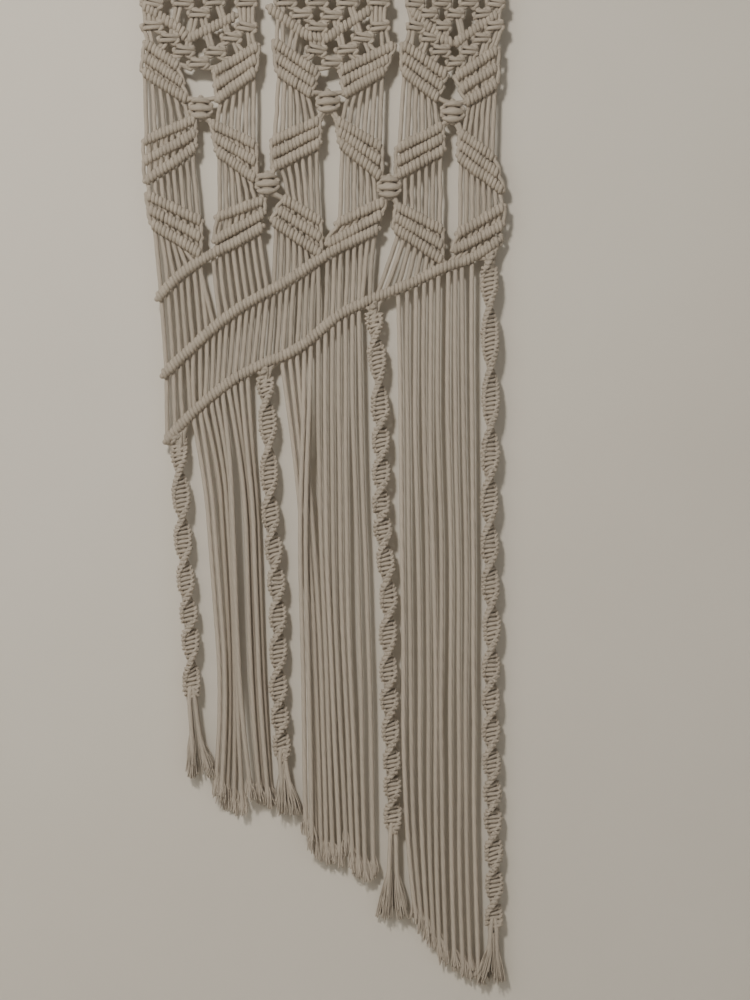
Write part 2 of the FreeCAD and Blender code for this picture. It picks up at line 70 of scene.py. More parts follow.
# -------- driving dimensions, millimetres
DOWEL_DIAMETER = 18.0
CORD_DIAMETER = 4.0
BAR_DIAMETER = 8.5
RUNNING_GAP = 0.3
NET_TOP = 25.0
NET_ROW_PITCH = 10.2
BERRY_HEIGHT = 18.0
BERRY_DEPTH = 14.0
SENNIT_CORD_PITCH = 6.6
NECK_LENGTH = 10.0
TAIL_OFFSET = 2.6
TAIL_SPREAD = 3.9
TAIL_CURVE = 1.5
SETBACK = 2.0
LAYER_STEP = 6.0
FRINGE_DROP = 8.1
HANG_BOW = 1.2

# Half the thickness of a cord in each place, millimetres. Knots squeeze it, and wraps hide part of it.
LOOSE_CORD = CORD_DIAMETER / 2
TAIL_CORD = 1.9
NECK_CORD = 1.7
SPIRAL_CORD, SPIRAL_CORE, CROSSING_CORD = 1.5, 3.0, 1.15
WRAP_CORD, HELD_CORD, EDGE_CORD, HIDDEN_CORD = 1.88, 2.4, 1.7, 2.15
NET_CORD = 1.82
BUMP_CORD = 1.5
HUNG_CORD = 1.85
WORKING_CORD = 1.95
HEAD_CORD = 1.9

# -------- layout, the same as the CAD source's
# The left edge of each panel at the dowel, and the distance between its cord ends there.
PANELS = {"left": (-157, 6.6), "middle": (-44, 6.6), "right": (68, 5.65)}
ENDS_PER_PANEL = 16
HALF = ENDS_PER_PANEL // 2

# Each arm of a row: its first bar and its last, from the outer end to the inner end, as (x, z), in the order
# of ARMS.
ARMS = [(panel, side) for panel in PANELS for side in SIDES]
CHEVRON_ARMS = dict(zip(ARMS, (
    ((-152, -68), (-120.5, -89)),
    ((-74, -77.5), (-114, -97)),
    ((-45, -70.5), (-13, -93.5)),
    ((41, -72), (2.5, -97)),
    ((76.5, -73), (102, -97)),
    ((149, -75.5), (113, -100.5)),
)))
ROW_A_ARMS = dict(zip(ARMS, (
    ((-149.5, -100.5), (-122.5, -120), (-152, -124), (-115, -148)),
    ((-55, -103), (-91, -124), (-57, -124), (-89, -148)),
    ((-40, -99.5), (-4, -126), (-37.5, -124), (-9.5, -143)),
    ((60.5, -103), (16, -124), (52.5, -124), (19.5, -143)),
    ((69, -102), (105.5, -127.5), (69, -123), (98.5, -147)),
    ((149, -106), (114, -129), (148, -134.5), (122.5, -150.5)),
)))
ROW_B_ARMS = dict(zip(ARMS, (
    ((-150.5, -183.5), (-108, -165), (-149.5, -217), (-108, -188.5)),
    ((-57, -187), (-93.5, -169), (-57, -215), (-89, -192)),
    ((-41.5, -183), (-2.5, -166), (-41, -205.5), (-2.5, -185.5)),
    ((50, -188.5), (13, -166.5), (49.5, -213.5), (15.5, -184.5)),
    ((64.5, -189.5), (102, -171), (64, -212.5), (103, -191)),
    ((145.5, -197), (117.5, -177), (153, -225), (116.5, -196.5)),
)))
ROW_C_ARMS = dict(zip(ARMS, (
    ((-148, -229.5), (-103, -251.5), (-144.5, -253.5), (-103.5, -279.5)),
    ((-50, -234), (-89, -248), (-50, -245), (-91, -268)),
    ((-32.5, -233), (-1.5, -251.5), (-41.5, -251.5), (-1, -279.5)),
    ((52.5, -235.5), (13, -253.5), (50, -246.5), (5, -270.5)),
    ((64, -239.5), (102, -259), (62, -257.5), (102, -285)),
    ((154, -239.5), (115.5, -262), (153, -255), (112, -276)),
)))
BARS_PER_ARM = 3
# Where a diagonal bar runs on from an arm of row C, it takes the place of that arm's third bar.
SHORT_ROW_C_ARMS = (("left", "right"), ("middle", "right"), ("right", "right"))
BERRIES = ((-103, -156), (5, -150.5), (111, -159), (-46.5, -220), (57, -223))

# The three long diagonal bars, from the upper right end down to the left edge, as (x, z).
DIAGONALS = (
    ((-51, -256.5), (-68, -267), (-89, -277), (-107, -287.5), (-124, -299), (-139.5, -317)),
    ((47.5, -258.5), (25.5, -268.5), (3.5, -279.5), (-30.5, -303.5), (-57, -317),
     (-81.5, -332.5), (-110.5, -358.5), (-135, -382.5)),
    ((149.5, -268.5), (129, -283), (114, -287.5), (98.5, -292.5), (75, -305),
     (41, -318), (12, -331.5), (-18.5, -360.5), (-57, -375.5), (-81.5, -389.5),
     (-110.5, -414), (-132.5, -438.5)),
)
LOWEST_BAR = DIAGONALS[-1]

# Each loose cord: the height of its cut end, the layer it hangs in (0 in the middle, 1 nearer the wall, -1 in
# front), and its x at equal steps of height from the lowest bar down to the cut end.
FRINGE = {
    "left": (
        (-739.5, 0, (-108.5, -98.5, -94.5, -90.5, -86.5, -87, -91)),
        (-744.6, 0, (-103, -94, -90, -85.5, -82, -82.5, -86)),
        (-750.5, 1, (-99, -88, -85, -82, -79.5, -78.5, -79.5, -81.5)),
        (-754.8, 1, (-93.5, -83.5, -80, -77, -75, -74, -74.5, -75)),
        (-754.8, 0, (-89, -79, -76.5, -75, -73, -71.5, -70, -67)),
        (-741.2, -1, (-84, -77.5, -75.5, -73.5, -72, -69.5, -65.5, -59.5)),
        (-743.8, 0, (-79, -70.5, -65, -63.5, -62, -60, -57, -52.5)),
        (-747.1, 1, (-74, -67, -61.5, -60, -59, -56.5, -53, -49.5)),
        (-750.5, 0, (-68.5, -64, -58.5, -57, -55, -53, -49.5, -45)),
        (-746.3, 1, (-63, -60, -55.5, -53.5, -52, -50, -47, -43.5)),
    ),
    "middle": (
        (-790.5, 0, (-33.5, -26, -20, -15.5, -12.5, -10, -8.5, -6.5, -5)),
        (-794.8, 0, (-27, -21, -15, -11, -7.5, -5.5, -3.5, -2, -0.5)),
        (-796.4, 0, (-21, -16.5, -10.5, -6.5, -3, -0.5, 1, 3, 4)),
        (-771.8, -1, (-15, -15.3, -17.5, -18.5, -17.5, -16, -15, -14.5, -13.5)),
        (-782.9, -1, (-9.5, -10.8, -13, -13.8, -13, -11.5, -10, -9, -8.5)),
        (-795.6, 0, (-3, -3.5, -2, -1, 1.5, 4, 5.5, 7.5, 9.5)),
        (-798.1, 0, (3, 2.5, 3, 3.5, 4.5, 7, 9, 11, 13.5, 15.5)),
        (-788.8, 0, (9, 8.5, 9, 9.5, 10.5, 13, 15.5, 18.5, 21)),
        (-804.1, 0, (14.5, 14, 15, 15.5, 16, 17.5, 20, 22.5, 24, 26.5)),
        (-808.4, 0, (20, 20.5, 20, 21, 21.5, 22.5, 25, 27.5, 29.5, 31.5)),
        (-812.6, 0, (26, 25.5, 27, 29, 30.5, 31.5, 33.5, 34, 35.5, 37)),
        (-807.5, 0, (31.5, 32.5, 33.5, 35, 37.5, 39, 41, 42, 43, 44)),
    ),
    "right": (
        (-846.6, 0, (65, 66.5, 67, 67.5, 68, 69, 69.5, 69, 71, 74, 80)),
        (-854.2, 0, (72.5, 72, 73, 73.5, 74, 75, 75.5, 76, 77, 80, 85.3)),
        (-861.9, 0, (80, 79.5, 79, 80.5, 82, 83, 83.5, 83, 84, 86.5, 90.3)),
        (-869.5, 0, (87, 86, 86.5, 87.5, 89.5, 90, 90.5, 91, 90.5, 91, 92.5, 95.5)),
        (-878, 0, (93, 92.5, 92, 92.5, 94, 95.5, 96.5, 97, 96.5, 97, 98, 100.5)),
        (-883.1, 0, (99, 98.5, 98, 99.5, 101.5, 102, 101.5, 101, 102, 102.5, 104, 106)),
        (-888.2, 0, (107.5, 107, 106.5, 108, 109.5, 110, 109.5, 109, 109.5, 110, 111, 113)),
        (-892.5, 0, (113.5, 113, 113.5, 114, 115.5, 116.5, 116, 116.5, 117, 116.5, 118, 120)),
        (-895, 0, (119, 119.5, 120, 121, 122.5, 123, 122.5, 122, 122.5, 123, 124.5, 126.5)),
        (-898.4, 0, (127.5, 127, 127.5, 128, 128.5, 129, 128.5, 129.5, 129, 130, 131.5, 133.5)),
    ),
}

# Each half-knot sennit: the points that its centre passes, as (x, z), the first where its four cords leave
# the lowest bar and the last at its lowest knot, and then the x and z that the middle of its ends hangs to.
SENNITS = (
    (((-121.5, -440.5), (-121.5, -463), (-119.5, -485), (-118, -523), (-116, -557),
      (-113, -584), (-111.5, -612), (-110.5, -657)), (-103.5, -721.5)),
    (((-48.5, -382), (-47.5, -403), (-45.5, -430), (-45, -466.5), (-44, -500),
      (-41, -529.5), (-38.5, -559.5), (-37.5, -587.5), (-37, -615), (-37.5, -644.5),
      (-36, -669), (-33.5, -710)), (-27.5, -753)),
    (((44, -327), (45, -348), (47.5, -374), (49.5, -408), (50, -438.5),
      (50.5, -465), (50, -489.5), (51.5, -514), (54.5, -544), (57, -572),
      (56, -604.5), (56.5, -635), (57.5, -670), (59, -705), (60, -740),
      (60.5, -773.5)), (60, -841.5)),
    (((142.5, -284), (142, -307), (143, -348.5), (143.5, -399.5), (143, -450.5),
      (142, -489), (142.5, -527), (143, -561), (144.5, -596), (143.5, -635),
      (143.5, -684), (144.5, -727), (145.5, -770), (146.5, -816), (146, -853.5)),
     (144.5, -896)),
)
CORDS_PER_SENNIT = 4

# The height of the middle of each swelling of each sennit, from the top. The first is above the lowest bar.
LOBES = (
    (-418, -444, -486, -523, -557, -586.5, -607, -645),
    (-369.8, -388.5, -421, -467.5, -501.5, -530.5, -559, -587, -616.5, -649, -673, -696.5),
    (-315.6, -333.5, -366.5, -411, -438, -465.5, -493, -512, -540, -572, -601.5, -634.5,
     -657.5, -685, -711, -731.5, -756),
    (-274.7, -298.5, -349.5, -402, -450.5, -488.5, -527, -560, -596, -632, -657, -684,
     -712, -737, -760, -787, -815, -844),
)
# How far along an arm each cord leaves it, from the arm's outer end.
CORD_SHARES = (0.035, 0.21, 0.385, 0.56, 0.735, 0.90)


# -------- points and lines
def place(x, z, forward=0.0):
    """A point of the textile's middle plane, or forward of it, in metres."""
    return np.array((x, -SETBACK - forward, z)) * MM


def places(*points):
    return [place(*point) for point in points]


def between(first, last, share):
    """The point that share of the way from one point to another."""
    return tuple(a + (b - a) * share for a, b in zip(first, last))


def run_at(route, x):
    points = sorted(route)
    for start, end in zip(points, points[1:]):
        if x <= end[0]:
            return start, end
    return points[-2], points[-1]


def height_on(route, x):
    (xa, za), (xb, zb) = run_at(route, x)
    return za + (zb - za) * (x - xa) / (xb - xa)


def steepness(route, x):
    """The route's length for each unit of its width there."""
    (xa, za), (xb, zb) = run_at(route, x)
    return math.hypot(xb - xa, zb - za) / (xb - xa)


def aside(route, x):
    """How far x is past either end of the route."""
    low, high = min(route)[0], max(route)[0]
    return max(low - x, x - high, 0.0)


def clamped_height(route, x):
    return height_on(route, min(max(x, min(route)[0]), max(route)[0]))


def spline_line(route, resolution):
    """The points of the smooth NURBS line whose control points are the route's."""
    curve = bpy.data.curves.new("route", "CURVE")
    curve.dimensions = "3D"
    curve.resolution_u = resolution
    spline = curve.splines.new("NURBS")
    spline.points.add(len(route) - 1)
    for point, where in zip(spline.points, route):
        point.co = (*where, 1.0)
    spline.order_u = 3
    spline.use_endpoint_u = True
    holder = bpy.data.objects.new("route", curve)
    mesh = bpy.data.meshes.new_from_object(holder)
    line = np.array([v.co[:] for v in mesh.vertices])
    bpy.data.meshes.remove(mesh)
    bpy.data.objects.remove(holder)
    bpy.data.curves.remove(curve)
    return line


def through(points, step=1.3 * MM):
    """A smooth Catmull-Rom line through the points of a knotted strand."""
    p = np.asarray(points, float)
    p = np.vstack((2 * p[0] - p[1], p, 2 * p[-1] - p[-2]))
    made = []
    for a, b, c, d in zip(p, p[1:], p[2:], p[3:]):
        n = max(2, int(math.ceil(np.linalg.norm(c - b) / step)))
        t = (np.arange(n) / n)[:, None]
        made.append(0.5 * (2 * b + (c - a) * t + (2 * a - 5 * b + 4 * c - d) * t**2
                           + (3 * b - a - 3 * c + d) * t**3))
    made.append(p[-2][None])
    return np.vstack(made)


def lengths_along(line):
    return np.concatenate(([0.0], np.cumsum(np.linalg.norm(np.diff(line, axis=0), axis=1))))


def at_lengths(line, wanted):
    """The line's points at those lengths along it."""
    along = lengths_along(line)
    return np.stack([np.interp(wanted, along, line[:, k]) for k in range(3)], axis=1)


def thinned(line, radius, least, over):
    """The radius along a cord that thins to a share of its thickness over the last stretch."""
    to_end = lengths_along(line)[-1] - lengths_along(line)
    return radius * MM * np.clip(least + (1 - least) * to_end / over, least, 1.0)


def unit(vectors):
    return vectors / np.maximum(np.linalg.norm(vectors, axis=-1, keepdims=True), 1e-12)


def square_to(along, axis):
    """Two directions square to a line at each point: towards an axis of the frame, and to the front."""
    across = unit(np.cross(along, FRONT[None]))
    across = across * np.sign(across[:, axis:axis + 1] + 1e-9)
    front = unit(np.cross(across, along))
    return across, front * np.sign(front @ FRONT)[:, None]


def carried_normals(tangents, first):
    """A direction square to the line at each point, carried along it with no twist."""
    normals = np.empty_like(tangents)
    normal = first - tangents[0] * (first @ tangents[0])
    if np.linalg.norm(normal) < 1e-3:
        normal = np.cross(tangents[0], (0.3, 0.8, 0.5))
    for i, tangent in enumerate(tangents):
        normal = normal - tangent * (normal @ tangent)
        normal = normal / np.linalg.norm(normal)
        normals[i] = normal
    return normals


CENTIMETRE = 0.01        # one unit of a cord's texture coordinates along it


class Bundle:
    """Strands of cord gathered into one mesh, each with its own texture coordinates and its own tint."""

    def __init__(self):
        self.points, self.quads, self.caps, self.uvs, self.cap_uvs, self.tints = [], [], [], [], [], []
        self.count = 0

    def strand(self, line, radius, sides=10, normals=None, flat=1.0, dome=True, ply=0.035, lay=0.017,
               tint=None):
        """One strand. flat is its half thickness along the normals, as a share of its half width. Three plies
        wind round it, raised by ply and a turn long in three lays."""
        line = np.asarray(line, float)
        radius = np.broadcast_to(np.asarray(radius, float), (len(line),)).copy()
        if dome:
            first, last = unit(line[0] - line[1]), unit(line[-1] - line[-2])
            rise, shrink = np.array((0.95, 0.75, 0.4)), np.array((0.35, 0.68, 0.93))    # a rounded end
            head = line[0] + first * rise[:, None] * radius[0]
            tail = line[-1] + last * rise[::-1, None] * radius[-1]
            if normals is not None:
                normals = np.vstack([normals[:1]] * 3 + [normals] + [normals[-1:]] * 3)
            line = np.vstack((head, line, tail))
            radius = np.concatenate((radius[0] * shrink, radius, radius[-1] * shrink[::-1]))
        along = lengths_along(line)
        tangents = unit(np.gradient(line, axis=0))
        if normals is None:
            normals = carried_normals(tangents, np.array((1.0, 0.0, 0.0)))
        else:
            normals = unit(normals - tangents * (normals * tangents).sum(1, keepdims=True))
        others = np.cross(tangents, normals)
        n, turn = len(line), np.arange(sides) / sides
        angle = 2 * math.pi * turn[None, :]
        start = rng.random()
        swell = 1 + ply * np.cos(3 * angle - 2 * math.pi * 3 * (along[:, None] / (3 * lay) + start))
        out = (np.cos(angle) * flat)[..., None] * normals[:, None]
        out = out + np.sin(angle)[..., None] * others[:, None]
        self.points.append((line[:, None] + out * (radius[:, None] * swell)[..., None]).reshape(-1, 3))
        i, k = np.meshgrid(np.arange(n - 1), np.arange(sides), indexing="ij")
        after = (k + 1) % sides
        quads = np.stack((i * sides + k, i * sides + after, (i + 1) * sides + after, (i + 1) * sides + k), -1)
        self.quads.append(quads.reshape(-1, 4) + self.count)
        height = along / CENTIMETRE + 10 * start
        u, v = np.stack((k, k + 1, k + 1, k), -1) / sides, np.stack((i, i, i + 1, i + 1), -1)
        self.uvs.append(np.stack((u, height[v]), -1).reshape(-1, 2))
        for ring, order in ((0, -1), (n - 1, 1)):
            self.caps.append(self.count + ring * sides + np.arange(sides)[::order])
            self.cap_uvs.append(np.stack((turn[::order], np.full(sides, height[ring])), -1))
        self.tints.append(np.full(n * sides, rng.random() if tint is None else tint))
        self.count += n * sides

    def piece(self, name, body, replaces=(), material=None):
        """The mesh as one piece that rides on a body."""
        points, quads, uvs = np.vstack(self.points), np.vstack(self.quads), np.vstack(self.uvs)
        mesh = bpy.data.meshes.new(name)
        mesh.vertices.add(len(points))
        mesh.vertices.foreach_set("co", points.astype(np.float32).ravel())
        corners = np.concatenate([quads.ravel()] + self.caps)
        totals = np.concatenate((np.full(len(quads), 4), [len(c) for c in self.caps]))
        mesh.loops.add(len(corners))
        mesh.loops.foreach_set("vertex_index", corners.astype(np.int32))
        mesh.polygons.add(len(totals))
        starts = np.concatenate(([0], np.cumsum(totals)[:-1]))
        mesh.polygons.foreach_set("loop_start", starts.astype(np.int32))
        mesh.polygons.foreach_set("loop_total", totals.astype(np.int32))
        mesh.polygons.foreach_set("use_smooth", np.ones(len(totals), bool))
        layer = mesh.uv_layers.new(name="cord")
        layer.data.foreach_set("uv", np.vstack([uvs] + self.cap_uvs).astype(np.float32).ravel())
        tint = mesh.attributes.new("tint", "FLOAT", "POINT")
        tint.data.foreach_set("value", np.concatenate(self.tints).astype(np.float32))
        mesh.update(calc_edges=True)
        made = bpy.data.objects.new(name, mesh)
        scene.collection.objects.link(made)
        # Knotwork pieces take the darker copy of the cotton, which has painted shade.
        mesh.materials.append(material or (cotton_knots_painted_shade if body == "knotwork" else cotton))
        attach(made, body)
        if replaces:
            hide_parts(*replaces)
        return made


# -------- materials
class Nodes:
    """Short ways to add and join nodes of one material."""

    def __init__(self, name):
        self.material = bpy.data.materials.new(name)
        self.material.use_nodes = True
        self.tree = self.material.node_tree
        self.shader = self.tree.nodes["Principled BSDF"]

    def put(self, inputs, node):
        """Joins or sets a node's inputs."""
        for key, value in inputs.items():
            if isinstance(value, bpy.types.NodeSocket):
                self.tree.links.new(value, node.inputs[key])
            else:
                node.inputs[key].default_value = value

    def add(self, kind, inputs=(), output=0, **values):
        """The output of a new node with those inputs."""
        node = self.tree.nodes.new(kind)
        for key, value in values.items():
            setattr(node, key, value)
        self.put(dict(inputs), node)
        return node.outputs[output]

    def math(self, operation, *values):
        return self.add("ShaderNodeMath", enumerate(values), operation=operation)

    def times(self, first, second):
        return self.math("MULTIPLY", first, second)

    def plus(self, first, second):
        return self.math("ADD", first, second)

    def vector(self, *values):
        return self.add("ShaderNodeCombineXYZ", enumerate(values))

    def where(self):
        return self.add("ShaderNodeTexCoord", output="Object")

    def apart(self, vector):
        return [self.add("ShaderNodeSeparateXYZ", {0: vector}, k) for k in range(3)]

    def noise(self, vector, scale, detail, roughness=0.5):
        return self.add("ShaderNodeTexNoise", {"Vector": vector, "Scale": scale, "Detail": detail,
                                               "Roughness": roughness}, "Fac")

    def ramp(self, value, *stops):
        color = self.add("ShaderNodeValToRGB", {0: value})
        elements = color.node.color_ramp.elements
        while len(elements) < len(stops):
            elements.new(0.5)
        for element, (at, shade) in zip(elements, stops):
            element.position, element.color = at, (*shade, 1.0)
        return color

    def bump(self, height, distance, strength, **more):
        inputs = {"Height": height, "Distance": distance, "Strength": strength}
        return self.add("ShaderNodeBump", {**inputs, **more})

    def surface(self, color, **more):
        """The finished material. more holds its shader's other inputs, spelt with _ for each space."""
        self.put({"Base Color": color, **{key.replace("_", " "): value for key, value in more.items()}},
                 self.shader)
        return self.material


def cotton_material(name, pale, dark, fuzz):
    """Matte cotton string: fibres that wind round it, soft plies with painted shade in the grooves between
    them, and each cord lighter or darker.
    """
    n = Nodes(name)
    u, v, _ = n.apart(n.add("ShaderNodeUVMap", uv_map="cord"))
    tint = n.add("ShaderNodeAttribute", output="Fac", attribute_name="tint")
    wound = n.times(n.plus(u, n.times(v, 0.22)), 2 * math.pi)
    fibres_at = n.vector(n.times(n.math("COSINE", wound), 5.0), n.times(n.math("SINE", wound), 5.0),
                         n.plus(n.times(v, 0.55), n.times(tint, 40.0)))
    fibres = n.noise(fibres_at, 3.0, 5.0, 0.65)
    ply = n.math("SINE", n.times(n.plus(n.times(u, 3.0), n.times(v, 0.6)), 2 * math.pi))
    patches = n.noise(n.where(), 22.0, 3.0)
    fine = n.noise(n.where(), 2600.0, 2.0)
    tone = n.plus(0.86, n.times(tint, 0.14))
    tone = n.times(tone, n.plus(0.93, n.times(patches, 0.12)))
    # Painted shade: the tone is a little darker in the grooves between the plies and lighter on their crowns.
    tone = n.times(tone, n.plus(0.985, n.times(ply, 0.025)))
    color = n.ramp(fibres, (0.28, dark), (0.62, pale))
    color = n.add("ShaderNodeMix", {0: 1.0, 6: color, 7: n.vector(tone, tone, tone)}, 2, data_type="RGBA",
                  blend_type="MULTIPLY")
    normal = n.bump(n.plus(n.times(fibres, 0.75), n.times(ply, 0.16)), 0.0007, 0.75)
    return n.surface(color, Roughness=n.plus(0.82, n.times(fibres, 0.14)), Specular_IOR_Level=0.25,
                     Sheen_Weight=fuzz, Sheen_Roughness=0.55, Sheen_Tint=(0.95, 0.92, 0.86, 1.0),
                     Normal=n.bump(fine, 0.0002, 0.35, Normal=normal))


def dowel_material():
    """Sanded pale wood: long grain along the dowel, growth bands and pores."""
    n = Nodes("dowel_wood_grain")
    x, y, z = n.apart(n.where())
    wander = n.noise(n.vector(n.times(x, 6.0), n.times(y, 130.0), n.times(z, 130.0)), 1.0, 4.0, 0.6)
    rings = n.math("SINE", n.plus(n.times(z, 2200.0), n.times(wander, 22.0)))
    pores = n.noise(n.vector(n.times(x, 90.0), n.times(y, 1500.0), n.times(z, 1500.0)), 1.0, 3.0, 0.7)
    value = n.plus(n.times(n.plus(n.times(rings, 0.5), 0.5), 0.45), n.times(pores, 0.55))
    color = n.ramp(value, (0.2, (0.30, 0.175, 0.085)), (0.5, (0.47, 0.30, 0.16)), (0.8, (0.60, 0.42, 0.25)))
    return n.surface(color, Roughness=n.plus(0.48, n.times(pores, 0.25)), Normal=n.bump(value, 0.0003, 0.5))


def wall_material():
    """Plain pale plaster, seen from the front only, so that it doesn't hide the back of the hanging."""
    n = Nodes("pale_wall")
    color = n.ramp(n.noise(n.where(), 3.0, 3.0), (0.3, (0.60, 0.555, 0.475)), (0.7, (0.635, 0.59, 0.51)))
    n.surface(color, Roughness=0.9, Normal=n.bump(n.noise(n.where(), 900.0, 2.0), 0.0002, 0.25))
    facing = n.add("ShaderNodeNewGeometry", output="Backfacing")
    clear = n.add("ShaderNodeBsdfTransparent")
    choose = n.add("ShaderNodeMixShader", {0: facing, 1: n.shader.outputs[0], 2: clear})
    n.put({"Surface": choose}, n.tree.nodes["Material Output"])
    return n.material


def floor_material():
    """Plain pale floor."""
    n = Nodes("pale_floor")
    color = n.ramp(n.noise(n.where(), 2.0, 2.0), (0.3, (0.66, 0.64, 0.60)), (0.7, (0.70, 0.68, 0.64)))
    return n.surface(color, Roughness=0.85)


cotton = cotton_material("cotton_cord", (0.545, 0.472, 0.38), (0.362, 0.308, 0.243), 0.08)
# Painted shade: the knotwork's cotton is a copy of the cord cotton painted about 7 % darker, for the shade
# among the knots of the upper part.
cotton_knots_painted_shade = cotton_material("cotton_knotwork_painted_shade", (0.505, 0.437, 0.35), (0.335, 0.284, 0.222), 0.07)
cotton_ends = cotton_material("cotton_frayed", (0.575, 0.497, 0.402), (0.405, 0.343, 0.272), 0.12)

# -------- camera
VIEW_HEIGHT = 850.0
VIEW_X, VIEW_Z = 45.05, -488.75
LENS, SENSOR = 85.0, 36.0
camera_data = bpy.data.cameras.new("camera")
camera_data.lens, camera_data.sensor_width = LENS, SENSOR
camera = bpy.data.objects.new("camera", camera_data)
camera.location = (VIEW_X * MM, -(SETBACK + VIEW_HEIGHT / 2 / (SENSOR / 2 / LENS)) * MM, VIEW_Z * MM)
camera.rotation_euler = (math.pi / 2, 0.0, 0.0)
scene.collection.objects.link(camera)
scene.camera = camera

# -------- loose cords
FRINGE_LENGTHS = {
    "left": (318, 328, 338, 346, 350, 341, 348, 354, 360, 359),
    "middle": (417, 424, 427, 404, 420, 439, 447, 444, 465, 472, 479, 477),
    "right": (530, 540, 551, 562, 574, 583, 590, 596, 601, 607),
}
CURVE_STEPS = 16         # how finely a smooth line is cut between two points of its route
FIBRE = (0.42, 0.68)     # half the thickness of a frayed fibre, at least and at most
FIBRE_LEAN = 1.4         # how far a frayed end leans to one side or the other


def fringe_route(end, layer, across):
    """A loose cord's points: from under the lowest bar, into its layer, bowed a little off the wall."""
    steps = len(across) - 1
    top = height_on(LOWEST_BAR, across[0]) - FRINGE_DROP * steepness(LOWEST_BAR, across[0])
    route = [place(across[0], top)]
    for step, x in enumerate(across[1:], start=1):
        share = step / steps
        forward = HANG_BOW * math.sin(math.pi * share) - layer * LAYER_STEP
        route.append(place(x, top + (end - top) * share, forward))
    return route


def frayed(bundle, foot, downward, root=20 * MM, reach=7 * MM, splay=5 * MM, fibres=22):
    """The unravelled end of a cord: fibres that leave its surface a little above the cut, spread and lean."""
    lean = np.array((rng.normal(0, FIBRE_LEAN * MM), 0.0, 0.0))
    for k in range(fibres):
        turn = 2 * math.pi * (k + rng.random()) / fibres
        away = np.array((math.cos(turn), 0.5 * math.sin(turn), 0.0))
        start = foot - downward * root * rng.uniform(0.5, 1.1) + away * 1.1 * MM
        end = foot + downward * reach * rng.uniform(-1.2, 0.45) + away * splay * rng.uniform(0.2, 1.05) + lean
        bend = (start + end) / 2 + away * 0.5 * MM + rng.normal(0, 0.5 * MM, 3)
        bundle.strand(through([start, bend, end], 3 * MM), rng.uniform(*FIBRE) * MM, sides=5, ply=0.0)


for group, cords in FRINGE.items():
    for number, (route, length) in enumerate(zip(cords, FRINGE_LENGTHS[group]), start=1):
        name = f"fringe_{group}_{number:02d}"
        line = spline_line(fringe_route(*route), CURVE_STEPS)
        made = Bundle()
        made.strand(line, thinned(line, LOOSE_CORD, 0.55, 12 * MM))
        cord = made.piece(f"{name}_cord", name, replaces=(name,))
        made = Bundle()
        frayed(made, line[-1], unit(line[-1] - line[-4]))
        tip = made.piece(f"{name}_tip", name, material=cotton_ends)

# -------- half-knot sennits
HALF_KNOT = 3.9                        # the length that one half knot takes
REACH_WIDE, REACH_DEEP = 6.5, 1.25     # how far its cords go to the sides, and to the front and the back
LAST_HALF_TURN = 33.0                  # from the last swelling to where the next would be
DWELL = 0.24                           # how much longer the spiral shows its broad face than its edge
WAIST = 0.34                           # how much narrower it is where it shows its edge
FINE = 0.42 * MM                       # the step that the spiral is worked out at
# One working cord over the other at a side of a half knot, as (out beyond REACH_WIDE, forward, down).
CROSSING = ((0.3, -0.5, -2.1), (-0.2, 1.3, -1.1), (-1.8, 1.9, 0.1), (-0.3, 1.2, 1.2), (0.3, -0.6, 2.1))


